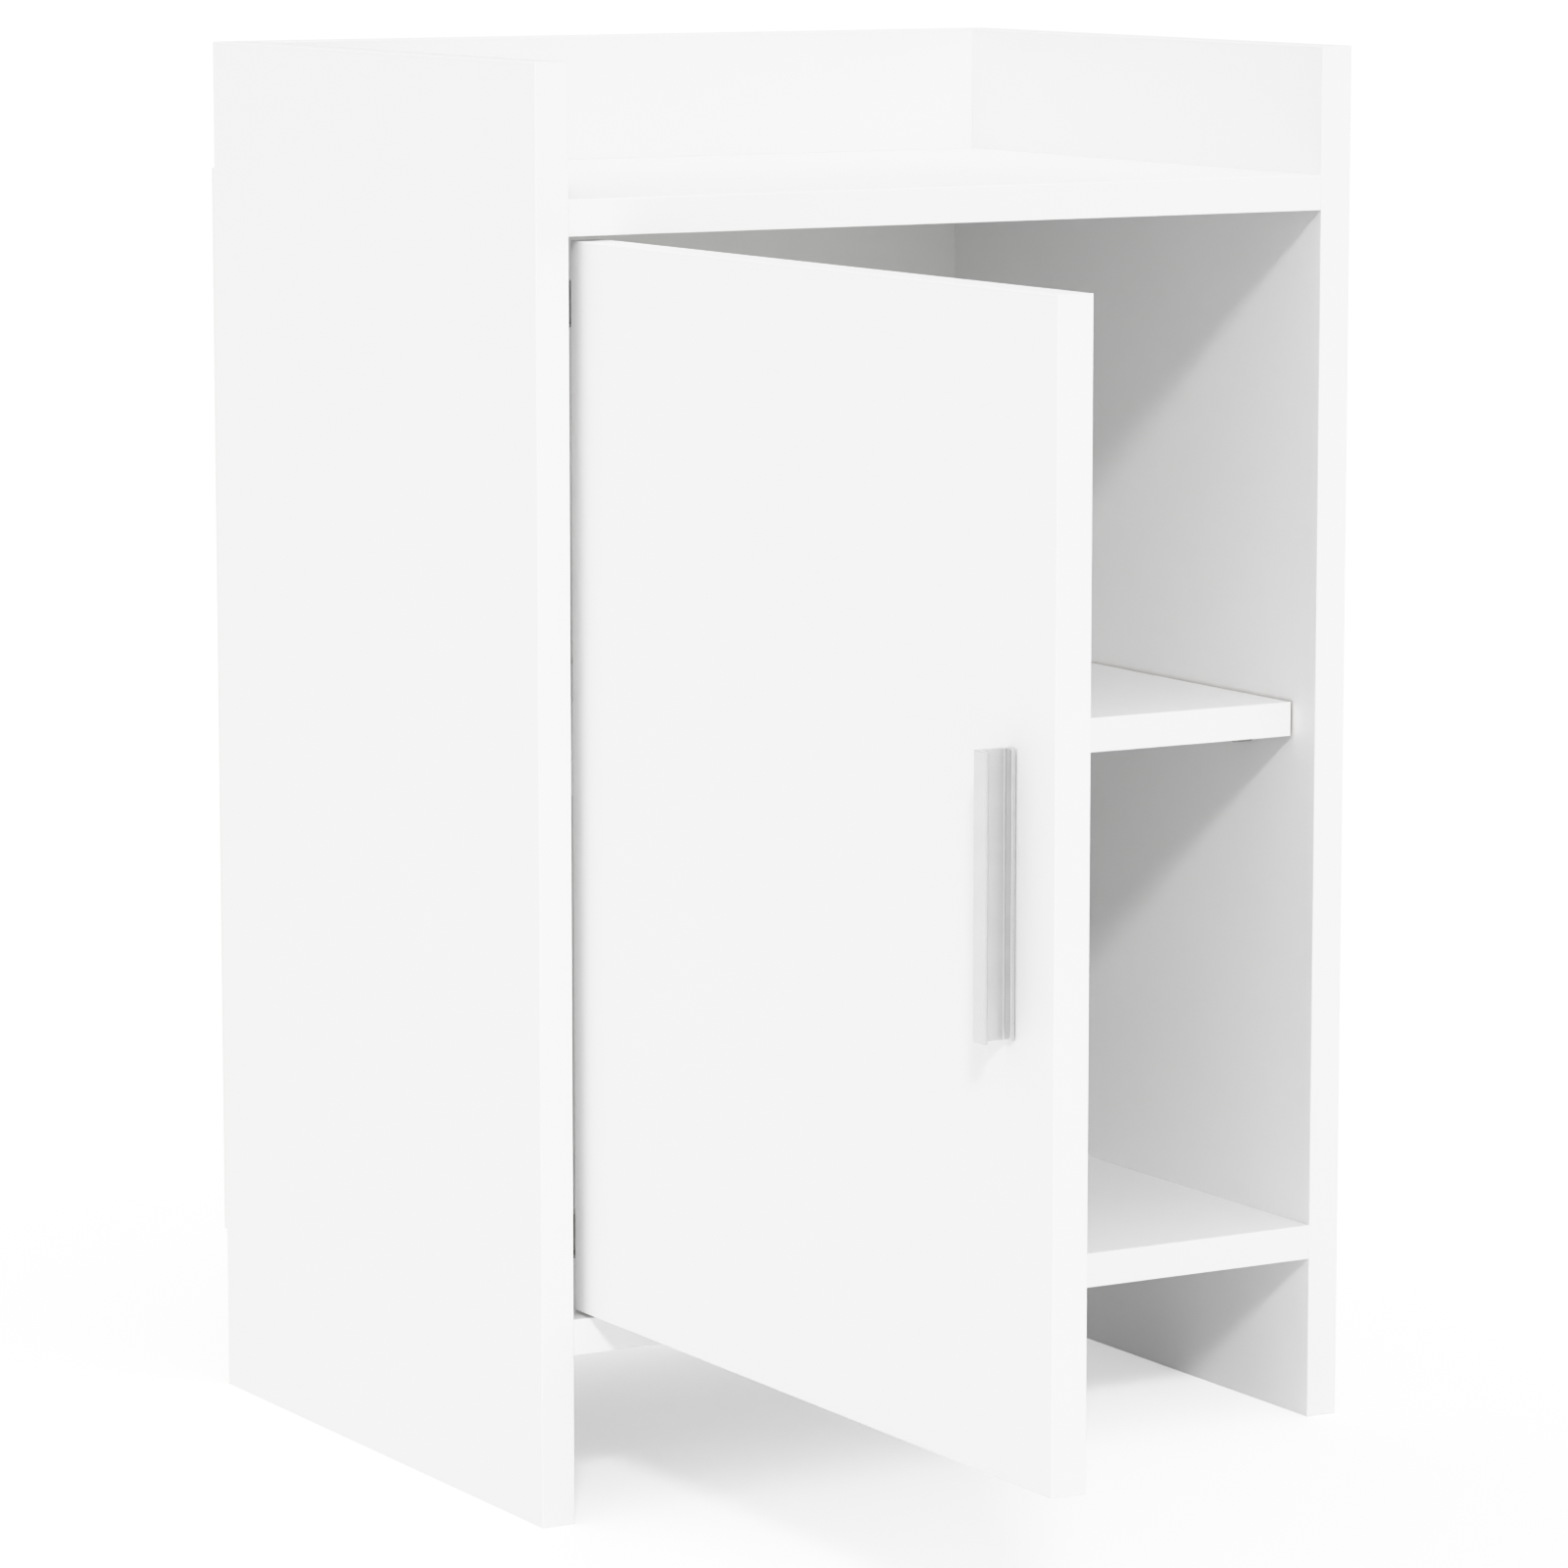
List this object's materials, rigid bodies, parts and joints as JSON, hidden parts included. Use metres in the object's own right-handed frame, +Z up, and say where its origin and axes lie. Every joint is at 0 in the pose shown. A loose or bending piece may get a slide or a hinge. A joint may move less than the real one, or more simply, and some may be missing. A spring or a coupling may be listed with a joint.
{
  "type": "bathroom side cabinet",
  "caption": "Free-standing white board cabinet with a recessed tray top, one inset door on cup hinges, a shelf and an aluminium profile handle.",
  "frame": {"origin": "centre of the bounding box's bottom face, on the floor, with the door open at a right angle", "axes": "+Z up; +Y towards the wall behind the cabinet, so the front faces -Y; +X to the right of someone facing the front"},
  "size_m": [0.397, 0.654, 0.6],
  "materials": {
    "white_melamine_board": "satin white melamine on particle board",
    "white_hardboard": "matt white foil on hardboard",
    "satin_aluminium": "satin anodised",
    "nickel_hinge": "nickel plated",
    "zinc_fastener": "zinc plated",
    "beech_dowel": "bare beech"
  },
  "bodies": {
    "carcass": {"back_panel": "white_hardboard", "bottom_board": "white_melamine_board", "cam_bolt_bottom_left_front": "zinc_fastener", "cam_bolt_bottom_left_rear": "zinc_fastener", "cam_bolt_bottom_right_front": "zinc_fastener", "cam_bolt_bottom_right_rear": "zinc_fastener", "cam_bolt_top_left_front": "zinc_fastener", "cam_bolt_top_left_rear": "zinc_fastener", "cam_bolt_top_right_front": "zinc_fastener", "cam_bolt_top_right_rear": "zinc_fastener", "cam_bottom_left_front": "zinc_fastener", "cam_bottom_left_rear": "zinc_fastener", "cam_bottom_right_front": "zinc_fastener", "cam_bottom_right_rear": "zinc_fastener", "cam_top_left_front": "zinc_fastener", "cam_top_left_rear": "zinc_fastener", "cam_top_right_front": "zinc_fastener", "cam_top_right_rear": "zinc_fastener", "hinge_arm_lower": "nickel_hinge", "hinge_arm_pin_lower": "nickel_hinge", "hinge_arm_pin_upper": "nickel_hinge", "hinge_arm_screw_lower": "nickel_hinge", "hinge_arm_screw_upper": "nickel_hinge", "hinge_arm_upper": "nickel_hinge", "hinge_plate_lower": "nickel_hinge", "hinge_plate_upper": "nickel_hinge", "plate_screw_high_lower": "nickel_hinge", "plate_screw_high_upper": "nickel_hinge", "plate_screw_low_lower": "nickel_hinge", "plate_screw_low_upper": "nickel_hinge", "shelf": "white_melamine_board", "shelf_pin_left_front": "nickel_hinge", "shelf_pin_left_rear": "nickel_hinge", "shelf_pin_right_front": "nickel_hinge", "shelf_pin_right_rear": "nickel_hinge", "side_panel_left": "white_melamine_board", "side_panel_right": "white_melamine_board", "top_board": "white_melamine_board", "upstand": "white_melamine_board", "upstand_dowel_left_high": "beech_dowel", "upstand_dowel_left_low": "beech_dowel", "upstand_dowel_right_high": "beech_dowel", "upstand_dowel_right_low": "beech_dowel"},
    "door": {"cup_screw_high_lower": "nickel_hinge", "cup_screw_high_upper": "nickel_hinge", "cup_screw_low_lower": "nickel_hinge", "cup_screw_low_upper": "nickel_hinge", "door": "white_melamine_board", "handle": "satin_aluminium", "handle_screw_high": "zinc_fastener", "handle_screw_low": "zinc_fastener", "hinge_cup_lower": "nickel_hinge", "hinge_cup_pin_lower": "nickel_hinge", "hinge_cup_pin_upper": "nickel_hinge", "hinge_cup_upper": "nickel_hinge"},
    "hinge_links": {"hinge_link_lower": "nickel_hinge", "hinge_link_upper": "nickel_hinge"}
  },
  "joints": [
    {"name": "door_hinge", "type": "hinge", "parent": "carcass", "child": "door", "pos_m": [-0.17525, 0.02975, 0.308], "axis": [0, 0, 1], "range_deg": [-5, 90]},
    {"name": "hinge_link_pivot", "type": "hinge", "parent": "carcass", "child": "hinge_links", "pos_m": [-0.15124, 0.03463, 0.308], "axis": [0, 0, 1], "range_deg": [-20.66, 1.16]}
  ],
  "couplings": [
    {"joint": "hinge_link_pivot", "follows": "door_hinge", "ratio": -0.22947}
  ]
}
